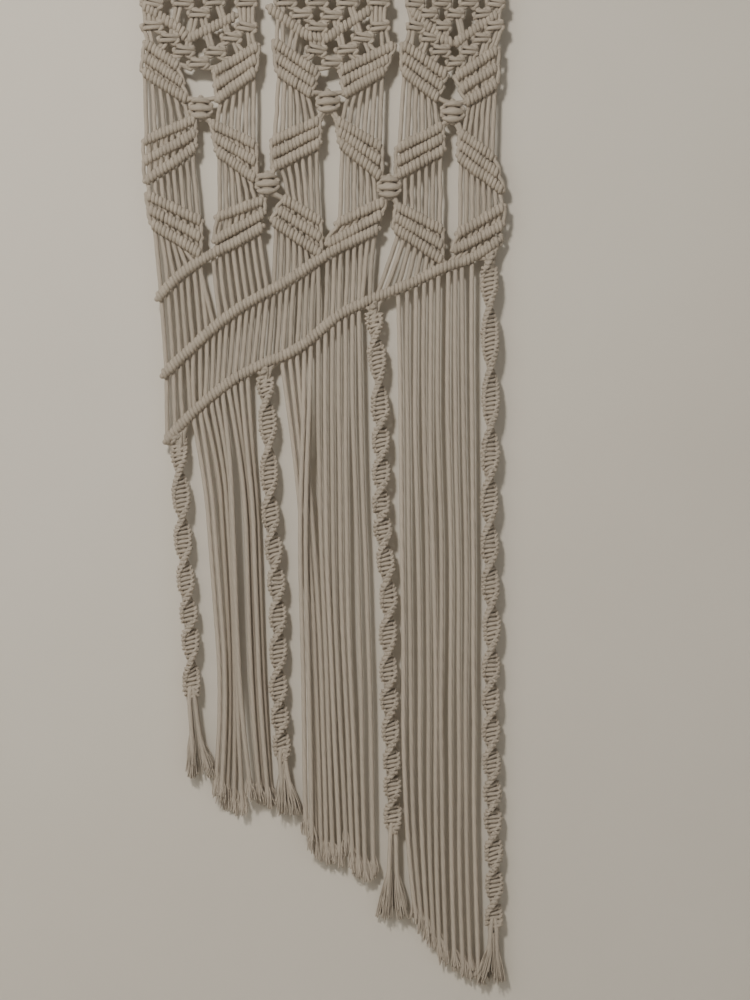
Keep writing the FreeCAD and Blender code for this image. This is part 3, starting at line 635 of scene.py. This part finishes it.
def half_knots(bundle, centre, start, end, lobes, ease):
    """Half knots, all tied the same way, so that they spiral round a line from one length along it to
    another. ease is the lengths over which they reach their full width, at the start and at the end."""
    s = np.arange(start, end, FINE)
    middle = at_lengths(centre, s)
    down = unit(np.gradient(middle, axis=0))
    side, front = square_to(down, 0)
    # The whole spiral turns half round from one swelling to the next.
    heights = np.concatenate((lobes, [lobes[-1] - LAST_HALF_TURN]))
    turn = np.interp(-middle[:, 2] / MM, -heights, (np.arange(len(heights)) - 1.0) * math.pi)
    turn -= DWELL * np.sin(2 * turn)
    wide = np.cos(turn)[:, None] * side + np.sin(turn)[:, None] * front
    deep = -np.sin(turn)[:, None] * side + np.cos(turn)[:, None] * front
    grow = np.clip((s - start) / ease[0], 0.5, 1.0) * np.clip((end - s) / ease[1], 0.45, 1.0)
    grow *= 1 - WAIST * np.sin(turn) ** 2
    pitch = HALF_KNOT * MM
    at_knots = np.linspace(start, end, max(1, int(round((end - start) / pitch))) + 1)
    loose = 1 + 0.09 * np.interp(s, at_knots, rng.normal(0, 1, len(at_knots)))
    slope = 0.15 * MM + 0.45 * MM * np.interp(s, at_knots, rng.normal(0, 1, len(at_knots)))
    for which in (0, 1):
        phase = math.pi * (s / pitch + which) + 0.12 * np.sin(s / (11 * MM) + which)
        across = REACH_WIDE * MM * grow * loose * np.cos(phase)
        over = REACH_DEEP * MM * np.sin(phase) * (1 + 0.18 * np.abs(np.cos(phase)))
        dip = slope * np.sin(2 * phase)
        line = middle + across[:, None] * wide + over[:, None] * deep + dip[:, None] * down
        keep = np.concatenate(([True], np.diff(np.floor(lengths_along(line) / (1.15 * MM))) > 0))
        bundle.strand(line[keep], SPIRAL_CORD * MM, sides=9, ply=0.03)
    core = slice(0, None, 12)
    # The core takes the darkest tint: painted shade for the hollow inside the spiral of half knots.
    bundle.strand(middle[core], SPIRAL_CORE * MM * np.clip(grow[core], 0.6, 1), normals=deep[core], flat=0.36,
                  tint=0.0)
    for knot in range(int(math.ceil(start / pitch)), int(end / pitch)):
        at = min(int(((knot + 0.5) * pitch - start) / FINE), len(s) - 1)
        for way in (-1, 1):
            for face in (-1, 1):
                out_shake, down_shake = rng.normal(0, 0.22, 2)
                loop = [middle[at] + MM * (way * ((REACH_WIDE + w) * grow[at] + out_shake) * wide[at]
                                           + face * d * deep[at] + (h + down_shake) * down[at])
                        for w, d, h in CROSSING]
                bundle.strand(through(loop, 1.6 * MM), CROSSING_CORD * MM, sides=8, ply=0.03)


def neck_depth(share):
    """How far forward one of a sennit's four cords lies in its neck: two in front, two behind."""
    return 1.3 if abs(share) < 1 else -0.9


def half_knot_sennit(number, route, tail, lobes):
    """A sennit's half knots and its neck, in place of its part in the model, and the four loose ends below
    them.
    """
    name = f"sennit_{number}"
    start = between(route[0], route[1], NECK_LENGTH / (route[0][1] - route[1][1]))
    points = places(route[0], start) + [
        place(x, z, HANG_BOW * math.sin(math.pi * k / len(route))) for k, (x, z) in enumerate(route[1:], 1)]
    centre = spline_line(points, CURVE_STEPS)
    made = Bundle()
    half_knots(made, centre, 0.3 * MM, lengths_along(centre)[-1], lobes, (3 * MM, 4 * MM))
    for share in (-1.5, -0.5, 0.5, 1.5):
        depth = neck_depth(share)
        neck = [points[0] + np.array((share * spread, -depth * near, fall)) * MM
                for spread, near, fall in ((2.3, 1.0, 0.0), (1.5, 0.8, -4.0), (0.8, 0.4, -11.0))]
        made.strand(through(neck), NECK_CORD * MM)
    body = made.piece(f"{name}_knots", name, replaces=(name,))

    ends = Bundle()
    foot = points[-1]
    reach = place(*tail) - foot
    for x_side in (-1, 1):
        for y_side in (-1, 1):
            inside = foot + np.array((x_side * 1.4, y_side * 1.0, 9.0)) * MM
            leaves = foot + np.array((x_side, y_side, 0.0)) * TAIL_OFFSET * MM
            end = leaves + reach + np.array((x_side * TAIL_SPREAD, 0.0, 0.0)) * MM
            bend = (leaves + end) / 2 - np.array((x_side * TAIL_CURVE, 0.0, 0.0)) * MM
            line = spline_line([inside, leaves, bend, end], CURVE_STEPS // 2)
            ends.strand(line, thinned(line, TAIL_CORD, 0.5, 20 * MM))
            root = min(38 * MM, 0.75 * lengths_along(line)[-1])
            frayed(ends, line[-1], unit(line[-1] - line[-3]), root, reach=8 * MM, splay=5.6 * MM, fibres=34)
    tails = ends.piece(f"{name}_ends", name)


for number, ((route, tail), lobes) in enumerate(zip(SENNITS, LOBES), start=1):
    half_knot_sennit(number, route, tail, lobes)

# -------- hitched bars
KNOT_LENGTH = 6.9        # the length of bar that one double half hitch takes
CHEVRON_KNOT_LENGTH = 7.4
WRAP_RADIUS = 3.0        # from the middle of the bar to the middle of a wrap
WRAP_START = -0.52 * math.pi    # a hitch starts at the bar's back, and goes round it twice
BAR_END = 1.2 * MM       # how far the holding cord runs past the line
ROWS = {"row_a": ROW_A_ARMS, "row_b": ROW_B_ARMS, "row_c": ROW_C_ARMS}


def hitched_bar(bundle, line, knot_length=KNOT_LENGTH):
    """Double half hitches along a holding cord, from the line's upper end to its lower end."""
    line = np.asarray(line, float)
    total = lengths_along(line)[-1]
    knots = max(2, int(round(total / (knot_length * MM))))
    each = total / knots
    run_in, run_out = unit(line[1] - line[0]), unit(line[-1] - line[-2])

    def spot(s):
        inside = at_lengths(line, np.clip(s, 0, total))
        return inside + np.minimum(s, 0)[:, None] * run_in + np.maximum(s - total, 0)[:, None] * run_out

    held = spot(np.linspace(-BAR_END, total + BAR_END, max(6, int(total / (4 * MM)))))
    bundle.strand(held, HELD_CORD * MM, tint=0.3)
    for knot in range(knots):
        first = knot * each + rng.normal(0, 0.2 * MM)
        phi = WRAP_START + np.linspace(0, 4 * math.pi, 31)
        s = first + each * ((phi - WRAP_START) / (4 * math.pi) - 0.08 * np.cos(phi))
        up, front = square_to(unit(spot(s + 0.5 * MM) - spot(s - 0.5 * MM)), 2)
        outward = np.cos(phi)[:, None] * up + np.sin(phi)[:, None] * front
        bulge = WRAP_RADIUS * MM * (1 + rng.normal(0, 0.035)) * (1 + 0.04 * np.sin(phi + rng.normal()))
        bundle.strand(spot(s) + outward * bulge[:, None], WRAP_CORD * MM * rng.uniform(0.94, 1.07),
                      normals=outward, flat=0.9, ply=0.03)


def edge_loop(bundle, first, second, out, reach=1.3):
    """A cord that leaves one bar's end and goes round into the next bar's end."""
    (xa, za), (xb, zb) = first, second
    fall = 0.22 * (za - zb)
    bundle.strand(through(places(
        (xa - out * 3.5, za + 0.3), (xa + out * 0.8, za, 0.4), (xa + out * reach, za - fall, 0.8),
        ((xa + xb) / 2 + out * (reach + 0.5), (za + zb) / 2, 0.8), (xb + out * reach, zb + fall, 0.6),
        (xb + out * 0.8, zb, 0.2), (xb - out * 3.5, zb - 0.3))), EDGE_CORD * MM)


def between_bars(bundle, upper, lower):
    """The eight working cords where they pass from one bar of an arm to the next."""
    for k in range(HALF):
        share = (k + 0.5) / HALF + rng.normal(0, 0.012)
        (xa, za), (xb, zb) = between(*upper, share), between(*lower, share)
        depth = rng.uniform(-2.8, -1.4)
        middle = ((xa + xb) / 2 + rng.normal(0, 0.4), (za + zb) / 2, depth)
        bundle.strand(through(places((xa, za), middle, (xb, zb))), HIDDEN_CORD * MM)


def bars_of(row, panel, side):
    """Each bar of an arm as (outer end, inner end)."""
    points = ROWS[row][(panel, side)]
    count = BARS_PER_ARM - (row == "row_c" and (panel, side) in SHORT_ROW_C_ARMS)
    return [tuple(between(points[k], points[k + 2], j / (count - 1)) for k in (0, 1)) for j in range(count)]


def arm(bundle, row, panel, side):
    """The bars of one arm, a little uneven, and the cords from each bar to the next."""
    bars = bars_of(row, panel, side)
    for bar in bars:
        ends = sorted(bar, key=lambda point: -point[1])
        wobble = rng.normal(0, 0.35, 2)
        thirds = [between(*ends, share) for share in (0, 0.33, 0.67, 1)]
        line = [place(x, z + bend) for (x, z), bend in zip(thirds, (0, *wobble, 0))]
        hitched_bar(bundle, through(line, 2 * MM))
    for (outer, inner), (outer_next, inner_next) in zip(bars, bars[1:]):
        edge_loop(bundle, outer, outer_next, OUT[side])
        edge_loop(bundle, inner, inner_next, -OUT[side], 0.4)
        between_bars(bundle, (outer, inner), (outer_next, inner_next))


def chevron(bundle, panel):
    """The two bars across a net. The left one runs on to just short of the right one's inner end."""
    apex = CHEVRON_ARMS[(panel, "right")][1]
    for side in SIDES:
        outer, inner = CHEVRON_ARMS[(panel, side)]
        route = [outer, between(outer, inner, 0.5), inner]
        if side == "left":
            route.append(between(inner, apex, 0.8))
        hitched_bar(bundle, through(places(*route), 3 * MM), CHEVRON_KNOT_LENGTH)


for panel in PANELS:
    for row in ROWS:
        made = Bundle()
        for side in SIDES:
            arm(made, row, panel, side)
        made.piece(f"{row}_{panel}_hitches", "knotwork", replaces=(f"{row}_{panel}",))
    made = Bundle()
    chevron(made, panel)
    made.piece(f"chevron_{panel}_hitches", "knotwork", replaces=(f"chevron_{panel}",))

for number, route in enumerate(DIAGONALS, start=1):
    made = Bundle()
    hitched_bar(made, spline_line(places(*route), 12))
    made.piece(f"diagonal_{number}_hitches", "knotwork", replaces=(f"diagonal_bar_{number}",))

# -------- nets of square knots
NET_ROWS = 10
NET_CLEARANCE = 7.6      # least height of a knot's middle over a bar
BESIDE = 6.0             # a bar whose end is this near is still below a knot
FILLER = 1.9             # from a knot's middle to each of the two cords inside it
NET_DEPTH = 0.82         # how deep a knot of a net is, as a share of the depths below
LONG_GAP = 14.0          # a gap this long to the bar below gets points of its own
# A cord's way through a square knot, as (x, z, forward) from its middle. The x is for the widest pitch.
WAY_OVER = (
    (-5.2, 4.6, 0.4), (-4.6, 3.2, 2.6), (-1.5, 2.2, 4.3), (2.5, 1.7, 4.4), (6.4, 1.3, 2.6),
    (8.3, 0.4, -0.4), (8.1, -0.6, -1.0), (6.2, -1.6, 2.0), (2.4, -1.9, 4.4), (-2.4, -1.8, 4.4),
    (-6.3, -1.6, 2.4), (-8.0, -2.4, -0.6), (-6.2, -4.8, -0.9))
WAY_UNDER = (
    (5.2, 4.6, 1.0), (7.4, 3.1, 3.2), (8.0, 1.7, 1.0), (4.5, 1.3, -3.4), (0.0, 1.2, -4.3),
    (-4.5, 1.3, -3.4), (-8.1, 1.2, 0.6), (-8.6, 0.1, 2.6), (-7.6, -1.3, 0.8), (-4.0, -1.6, -3.4),
    (0.0, -1.6, -4.3), (4.6, -1.6, -3.2), (8.0, -1.6, 0.8), (8.0, -2.8, 2.6), (5.6, -4.8, 0.6))


def net_places(panel):
    """(row, number, x, z, tilt) of each square knot that clears the bars."""
    left_edge, pitch = PANELS[panel]
    column = 4 * pitch
    chevrons = [points for (owner, _), points in CHEVRON_ARMS.items() if owner == panel]
    floors = [points[:2] for (owner, _), points in ROW_A_ARMS.items() if owner == panel]
    for row in range(NET_ROWS):
        z = -NET_TOP - row * NET_ROW_PITCH
        for number in range(4 - row % 2):
            x = left_edge + (number + 0.5 + 0.5 * (row % 2)) * column
            floor = min(floors, key=lambda line: aside(line, x))
            near = [line for line in chevrons if aside(line, x) < BESIDE]
            room = NET_CLEARANCE + 1.0 if aside(floor, x) < BESIDE else 0.0
            clear = all(abs(z - clamped_height(line, x)) > NET_CLEARANCE for line in near)
            if clear and z > clamped_height(floor, x) + room:
                yield row, number, x + rng.normal(0, 0.45), z + rng.normal(0, 0.4), rng.normal(0, 0.075)


def arm_of(number):
    """The side of a panel that one of its cords is on, and its place there, counted from the outer edge."""
    return ("left", number) if number < HALF else ("right", ENDS_PER_PANEL - 1 - number)


def net_strand(panel, number, knots):
    """The points of one of a panel's cords, from its lark's head to the first bar of row A."""
    left_edge, pitch = PANELS[panel]
    scale = pitch / SENNIT_CORD_PITCH
    side, outward = arm_of(number)
    end_x, end_z = between(*ROW_A_ARMS[(panel, side)][:2], (outward + 0.5) / HALF)
    home = left_edge + (number + 0.5) * pitch
    points = [place(home - 0.7 if number % 2 else home + 0.7, -13.5, 3.0)]
    for row, group, x, z, tilt in knots:
        role = number - 4 * group - 2 * (row % 2)
        if role in (1, 2):
            inside = x + (-FILLER if role == 1 else FILLER)
            points += places((inside + 3.5 * tilt, z + 3.5, 0.2), (inside - 3.5 * tilt, z - 3.5, 0.2))
        elif role in (0, 3):
            wide = scale * (1 + rng.normal(0, 0.03))
            points += [place(x + (dx + dz * tilt) * wide, z + dz - dx * tilt, forward * NET_DEPTH)
                       for dx, dz, forward in (WAY_OVER if role == 0 else WAY_UNDER)]
    last_z = points[-1][2] / MM
    if last_z - end_z > LONG_GAP:
        for share in (0.35, 0.7):
            x = points[-1][0] / MM + (end_x - points[-1][0] / MM) * share
            points.append(place(x + rng.normal(0, 0.3), last_z + (end_z - last_z) * share, 0.3))
    points.append(place(end_x, end_z + 1.0))
    return points


for panel in PANELS:
    knots = list(net_places(panel))
    made = Bundle()
    for number in range(ENDS_PER_PANEL):
        made.strand(through(net_strand(panel, number, knots)), NET_CORD * MM)
    made.piece(f"net_{panel}_cords", "knotwork", replaces=(f"net_{panel}",))

# -------- rounded knots
# Each band as (height, half width, half thickness), and the core as (height, radius).
BANDS = ((5.0, 7.2, 2.6), (0.0, 8.6, 3.3), (-5.2, 7.6, 2.7))
CORE = ((9.0, 2.6), (7.0, 4.3), (3.5, 5.2), (0.0, 5.6), (-3.5, 5.2), (-7.0, 4.3), (-9.0, 2.6))
BUMP = ((6.5, 1.6, 0.5), (9.2, 0.6, 1.0), (9.2, -0.6, 1.0), (6.5, -1.6, 0.5))


def berry(bundle, x, z):
    """A bud of square knots: three fat bands across it, over a round core."""
    t = np.linspace(-math.pi / 2, 1.5 * math.pi, 49)
    tilt = rng.normal(0, 0.05)
    for height, half, fat in BANDS:
        across = half * np.cos(t)
        forward = (BERRY_DEPTH / 2 - fat) * np.sin(t)
        sag = 1.5 * np.sin(t) * np.sign(height) + across * tilt
        line = np.stack((x + across, -SETBACK - forward, z + height + sag), axis=1) * MM
        radius = (fat - 1.15 * np.abs(np.cos(t)) ** 1.5) * MM
        bundle.strand(line, radius, sides=14, dome=False, ply=0.05, lay=0.02)
    for height in (-2.7, 2.7):
        for side in (-1, 1):
            bump = [place(x + side * out, z + height + up, forward) for out, up, forward in BUMP]
            bundle.strand(through(bump), BUMP_CORD * MM)
    bundle.strand([place(x, z + height) for height, _ in CORE], np.array([radius for _, radius in CORE]) * MM,
                  sides=14, normals=np.tile(FRONT, (len(CORE), 1)), flat=0.8, tint=0.2)


made = Bundle()
for x, z in BERRIES:
    berry(made, x, z)
made.piece("berry_knot_cords", "knotwork", replaces=("berry_knots",))

# -------- cords between the knots
UNDER_BAR = 4.2          # from the middle of the lowest bar to the half knots under it
HINGE_GAP = 0.8          # how far those half knots reach below the sennit's hinge
FREE_EDGES = (("left", "left"), ("right", "right"))
FREE_EDGE_SHARES = [0.03 + 0.92 * k / 7 for k in range(8)]
SHARED_EDGE_SHARES = [0.17 + 0.155 * k for k in range(6)]


def hang_between(bundle, top, bottom):
    """A working cord from one bar down to the next, slightly bowed."""
    (xa, za), (xb, zb) = top, bottom
    points = places((xa, za, -2.4), (xa, za - 4.5, -2.8))
    for share in (0.38, 0.55, 0.74):
        x = xa + (xb - xa) * share + rng.normal(0, 0.25) * math.sin(math.pi * share)
        points.append(place(x, za + (zb - za) * share, -2.2 * (1 - share) + rng.normal(0, 0.3)))
    points.append(place(xb, zb))
    bundle.strand(through(points), HUNG_CORD * MM)


def on_arm(row, panel, side, which, share):
    """A point on the first or the last bar of an arm, that share of the way from its outer end."""
    return between(*bars_of(row, panel, side)[which], share)


def into_berry(bundle, bar_end, centre, aside_of, depth, above):
    """A cord between the end of a bar and the top or the bottom of a rounded knot."""
    (xa, za), (xb, zb) = bar_end, centre
    edge = zb + (BERRY_HEIGHT / 2 - 1.5) * (1 if above else -1)
    middle = (between((xa, za), (xb + aside_of, edge), 0.45)[0], (za + edge) / 2, depth)
    bundle.strand(through(places((xa, za), middle, (xb + aside_of, edge, depth))), WORKING_CORD * MM)


def berry_cords(bundle, panel, side, rows, shares, centre, out):
    """The cords of one arm that go into a rounded knot, and out of it to the arm below."""
    upper, lower = rows
    for k, share in enumerate(shares):
        aside_of, depth = out * (4.2 - 2.8 * k), 0.8 - k
        into_berry(bundle, on_arm(upper, panel, side, -1, share), centre, aside_of, depth, True)
        into_berry(bundle, on_arm(lower, panel, side, 0, share), centre, aside_of, depth, False)


def cords_of_arm(bundle, panel, side):
    """The cords from row A to row B and from row B to row C, and those that a rounded knot gathers."""
    number = tuple(PANELS).index(panel)
    for share in CORD_SHARES:
        hang_between(bundle, on_arm("row_a", panel, side, -1, share), on_arm("row_b", panel, side, 0, share))
    berry_cords(bundle, panel, side, ("row_a", "row_b"), (0.95, 0.99), BERRIES[number], OUT[side])
    shares = FREE_EDGE_SHARES
    if (panel, side) not in FREE_EDGES:
        shares = SHARED_EDGE_SHARES
        centre = BERRIES[len(PANELS) + number + (side == "right") - 1]
        berry_cords(bundle, panel, side, ("row_b", "row_c"), (0.02, 0.05), centre, -OUT[side])
    for share in shares:
        hang_between(bundle, on_arm("row_b", panel, side, -1, share), on_arm("row_c", panel, side, 0, share))


# The x where each cord leaves the lowest bar, from left to right: sennits and fringe groups take turns.
lowest_ends = []
for number, group in enumerate(("left", "middle", "right", None)):
    outermost = SENNITS[number][0][0][0] - 1.5 * SENNIT_CORD_PITCH
    lowest_ends += [outermost + k * SENNIT_CORD_PITCH for k in range(CORDS_PER_SENNIT)]
    lowest_ends += [across[0] for _, _, across in FRINGE.get(group, ())]


def sennit_heads(bundle, first):
    """The half knots from the lowest bar to the hinge of each sennit that hangs from a panel's cords."""
    for (route, _), lobes in zip(SENNITS, LOBES):
        x, z = route[0]
        nearest = min(range(len(lowest_ends)), key=lambda k: abs(lowest_ends[k] - x))
        if first <= nearest < first + ENDS_PER_PANEL:
            under = height_on(LOWEST_BAR, x) - UNDER_BAR * steepness(LOWEST_BAR, x)
            centre = np.array(places((x, under), (x, (under + z) / 2), (x, z - HINGE_GAP)))
            half_knots(bundle, centre, 0.0, (under - z + HINGE_GAP) * MM, lobes, (3 * MM, 0.4 * MM))


def working_cord(panel, number, index):
    """The points of one of a panel's cords from row C, over each long bar that it meets, to where it hangs
    loose or gathers into a sennit's neck. index is its place among all the cords, from the left."""
    side, outward = arm_of(number)
    x, z = on_arm("row_c", panel, side, -1, (outward + 0.5) / HALF)
    points = places((x, z, -2.4), (x, z - 4.5, -2.8))
    for crossed, route in enumerate(DIAGONALS, start=1):
        ends = crossed * ENDS_PER_PANEL
        if index >= ends:
            continue
        low, high = min(route)[0], max(route)[0]
        x = lowest_ends[index] if route is LOWEST_BAR else low + (high - low) * (index + 0.5) / ends
        z = height_on(route, x)
        above = points[-1][2] / MM
        if z > above - BAR_DIAMETER + 4.5:
            continue
        half_way = (points[-1][0] / MM + x) / 2 + rng.normal(0, 0.35)
        if above - z > 16:
            points.append(place(half_way, (above + z) / 2, rng.normal(-1.2, 0.3)))
        points += places((x, z + 1.5, -0.6), (x, z - 3.0, -2.6))
    x, z = points[-1][0] / MM, points[-1][2] / MM + 3.0
    neck_x, neck_z = min(SENNITS, key=lambda sennit: abs(sennit[0][0][0] - x))[0][0]
    share = (x - neck_x) / SENNIT_CORD_PITCH
    if abs(share) < 2 and abs(abs(share) % 1 - 0.5) < 0.05:
        depth = neck_depth(share)
        return points + places((neck_x + share * 3.4, (z + neck_z) / 2 - 1.0, depth * 0.5),
                               (neck_x + share * 2.3, neck_z, depth))
    return points + places((x, z - FRINGE_DROP * steepness(LOWEST_BAR, x)))


for first, panel in zip(range(0, 3 * ENDS_PER_PANEL, ENDS_PER_PANEL), PANELS):
    made = Bundle()
    sennit_heads(made, first)
    for side in SIDES:
        cords_of_arm(made, panel, side)
    for number in range(ENDS_PER_PANEL):
        made.strand(through(working_cord(panel, number, first + number)), WORKING_CORD * MM)
    made.piece(f"working_cords_{panel}_lengths", "knotwork", replaces=(f"working_cords_{panel}",))

# -------- lark's heads
# Half of a lark's head, as (out from its middle, Y, Z): up to the dowel, and from its ring down to its bar.
HEAD_UP = ((2.6, -4.0, -16.5), (2.4, -6.8, -12.5), (2.3, -9.4, -8.2))
HEAD_DOWN = ((4.9, -5.5, -12.8), (5.1, -11.0, -11.6), (4.4, -13.4, -8.6), (2.6, -13.9, -7.3))
HEAD_BAR = (-14.0, -7.0)
HEAD_RING = DOWEL_DIAMETER / 2 + RUNNING_GAP + CORD_DIAMETER / 2


def larks_head(bundle, x, tight):
    """A folded cord's loop on the dowel. tight is its width, as a share of the widest panel's."""
    turns = [(2.4 + 1.6 * share, math.pi * (1.52 * share - 0.12)) for share in np.linspace(0, 1, 14)]
    ring = [(out, -HEAD_RING * math.cos(angle), HEAD_RING * math.sin(angle)) for out, angle in turns]
    half = [*HEAD_UP, *ring, *HEAD_DOWN]
    left, right = [[(x + side * out * tight, y, z) for out, y, z in half] for side in (-1, 1)]
    line = np.array(left + [(x, *HEAD_BAR)] + right[::-1]) * MM
    bundle.strand(through(line, 1.6 * MM), HEAD_CORD * MM * (1.0 if tight > 0.95 else 0.93))


made = Bundle()
for left_edge, pitch in PANELS.values():
    for pair in range(HALF):
        larks_head(made, left_edge + (2 * pair + 1) * pitch, pitch / SENNIT_CORD_PITCH)
made.piece("larks_head_cords", "knotwork", replaces=("larks_heads",))

dowel = frame["nodes"]["dowel"]
dowel.data.materials.clear()
dowel.data.materials.append(dowel_material())
for face in dowel.data.polygons:
    face.use_smooth = True

# -------- wall, floor and light
WALL_Y, WALL_HALF = 13.8, 1700.0
FLOOR_Z = -1250.0
WALL_LEAN = 0.0082    # the hem hangs nearer to the wall than the dowel does


def flat_sheet(name, corners, material):
    mesh = bpy.data.meshes.new(name)
    mesh.from_pydata([tuple(c * MM for c in corner) for corner in corners], [], [(0, 1, 2, 3)])
    mesh.materials.append(material)
    made = bpy.data.objects.new(name, mesh)
    scene.collection.objects.link(made)
    return made


low_y, high_y = WALL_Y + WALL_LEAN * FLOOR_Z, WALL_Y + WALL_LEAN * WALL_HALF
wall = flat_sheet("wall", [(-WALL_HALF, low_y, FLOOR_Z), (WALL_HALF, low_y, FLOOR_Z),
                           (WALL_HALF, high_y, WALL_HALF), (-WALL_HALF, high_y, WALL_HALF)], wall_material())
wall.visible_shadow = False
flat_sheet("floor", [(-WALL_HALF, -WALL_HALF * 2, FLOOR_Z), (WALL_HALF, -WALL_HALF * 2, FLOOR_Z),
                     (WALL_HALF, WALL_HALF, FLOOR_Z), (-WALL_HALF, WALL_HALF, FLOOR_Z)], floor_material())


def area_light(name, towards, aim, distance, size, power, color):
    """A square soft light that shines in the direction towards, on the point aim."""
    data = bpy.data.lights.new(name, "AREA")
    data.shape, data.size, data.energy, data.color = "SQUARE", size, power, color
    light = bpy.data.objects.new(name, data)
    direction = unit(np.array(towards, float))
    light.location = np.array(aim) * MM - direction * distance
    light.rotation_euler = Vector(direction).to_track_quat("-Z", "Y").to_euler()
    light.visible_camera = False
    scene.collection.objects.link(light)


middle_of_view = (VIEW_X, 0.0, VIEW_Z)
area_light("key", (0.27, 0.80, -0.52), (0.0, 0.0, -450.0), 2.0, 0.24, 27.0, (1.0, 0.965, 0.92))
area_light("fill_left", (0.55, 0.80, -0.20), (-220.0, 0.0, -220.0), 1.5, 1.1, 6.0, (1.0, 0.97, 0.93))
area_light("fill_right", (-0.6, 0.78, -0.15), middle_of_view, 2.8, 1.8, 3.0, (1.0, 0.98, 0.96))
area_light("back", (0.25, -0.9, -0.35), middle_of_view, 2.6, 1.8, 12.0, (1.0, 0.98, 0.95))
world = bpy.data.worlds.new("soft_room")
scene.world = world
world.use_nodes = True
background = world.node_tree.nodes["Background"]
background.inputs["Color"].default_value = (0.93, 0.92, 0.90, 1.0)
background.inputs["Strength"].default_value = 0.27
